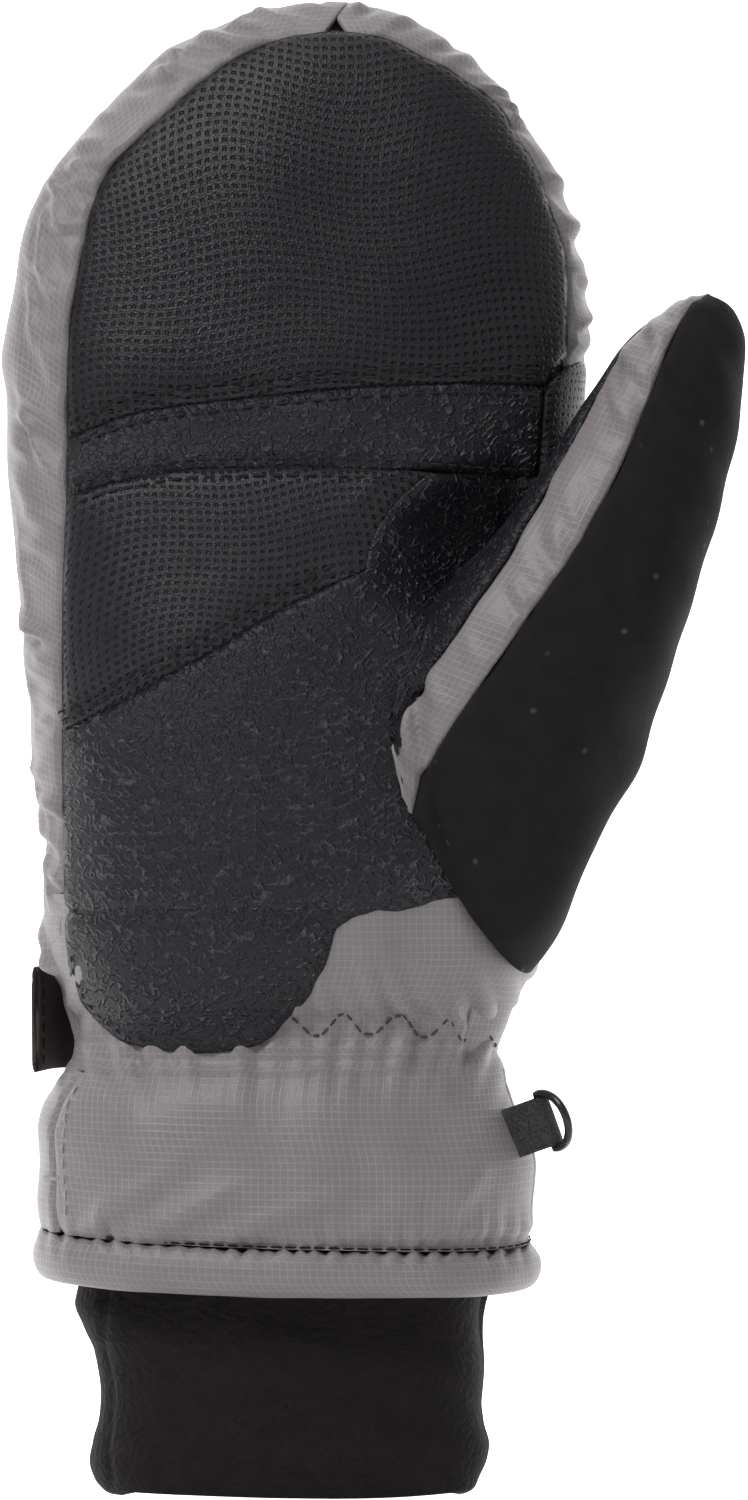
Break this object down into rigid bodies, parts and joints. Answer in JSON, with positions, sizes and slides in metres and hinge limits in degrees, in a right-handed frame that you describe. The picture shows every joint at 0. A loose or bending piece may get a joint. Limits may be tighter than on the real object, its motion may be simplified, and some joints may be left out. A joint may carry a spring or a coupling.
{
  "type": "ski mitten",
  "caption": "Insulated right-hand ski mitten with embossed palm, bending fingers and thumb, short gauntlet, knit cuff, hanging ring and wrist strap.",
  "frame": {"origin": "centre of the knit cuff's mouth, where the hand goes in", "axes": "+Z from the cuff to the fingertips, -Y out of the palm, +X towards the thumb side"},
  "size_m": [0.163, 0.0815, 0.3288],
  "materials": {
    "grey_ripstop": "woven ripstop shell cloth with a fine raised grid",
    "grained_palm": "coarse-grained synthetic leather, satin",
    "embossed_grip": "embossed grip leather with a wavy field of small pits",
    "softshell": "matt stretch softshell",
    "knit": "brushed knit",
    "webbing": "hook-and-loop strap and elastic webbing",
    "suede": "napped synthetic suede",
    "ring_plastic": "glossy lacquered wire",
    "insulation": "lofted polyester wadding",
    "membrane": "thin waterproof film",
    "lining": "brushed lining",
    "hook": "hook tape"
  },
  "bodies": {
    "hand": {"palm_heel_patch": "grained_palm", "palm_grip_patch": "embossed_grip", "flex_band": "grained_palm", "wrist_front_panel": "grey_ripstop", "hand_outer_gusset": "grey_ripstop", "hand_index_gusset": "grey_ripstop", "hand_back_panel": "grey_ripstop", "wrist_gather": "grey_ripstop", "hand_insulation": "insulation", "hand_membrane": "membrane", "hand_lining": "lining", "wrist_elastic": "webbing", "strap_anchor": "webbing", "strap_loop_field": "webbing"},
    "fingers": {"finger_grip_patch": "embossed_grip", "index_wrap_patch": "embossed_grip", "finger_outer_gusset": "grey_ripstop", "finger_index_gusset": "grey_ripstop", "finger_back_panel": "grey_ripstop", "finger_insulation": "insulation", "finger_membrane": "membrane", "finger_lining": "lining"},
    "thumb": {"thumb_strip": "grey_ripstop", "thumb_outer_panel": "softshell", "thumb_inner_patch": "grained_palm", "thumb_back_panel": "grey_ripstop", "thumb_insulation": "insulation", "thumb_lining": "lining"},
    "gauntlet": {"gauntlet_front_panel": "grey_ripstop", "gauntlet_back_panel": "grey_ripstop", "gauntlet_insulation": "insulation", "gauntlet_membrane": "membrane", "gauntlet_lining": "lining", "gauntlet_hem": "grey_ripstop", "d_ring_loop": "suede"},
    "cuff": {"knit_cuff": "knit"},
    "ring": {"d_ring": "ring_plastic"},
    "strap": {"wrist_strap": "webbing", "strap_hook_pad": "hook"}
  },
  "joints": [
    {"name": "finger_flex", "type": "hinge", "parent": "hand", "child": "fingers", "pos_m": [0, -0.017, 0.232], "axis": [1, 0, 0], "range_deg": [0, 45], "stiffness_Nm_per_rad": 0.3, "deforming": ["flex_band"]},
    {"name": "thumb_flex", "type": "hinge", "parent": "hand", "child": "thumb", "pos_m": [0.022, -0.036, 0.165], "axis": [0.6074, 0, -0.7944], "range_deg": [0, 35], "stiffness_Nm_per_rad": 0.15},
    {"name": "wrist_flex", "type": "hinge", "parent": "hand", "child": "gauntlet", "pos_m": [0, 0, 0.096], "axis": [1, 0, 0], "range_deg": [-15, 8], "stiffness_Nm_per_rad": 0.3, "deforming": ["wrist_gather"]},
    {"name": "cuff_tuck", "type": "slide", "parent": "gauntlet", "child": "cuff", "axis": [0, 0, 1], "range_m": [0, 0.018]},
    {"name": "d_ring_swing", "type": "hinge", "parent": "gauntlet", "child": "ring", "pos_m": [0.0558, -0.014, 0.0835], "axis": [0.3372, 0, -0.9414], "range_deg": [-45, 60]},
    {"name": "strap_peel", "type": "hinge", "parent": "hand", "child": "strap", "pos_m": [0.0345, 0.027, 0.1055], "axis": [0, 0, -1], "range_deg": [0, 80]}
  ]
}
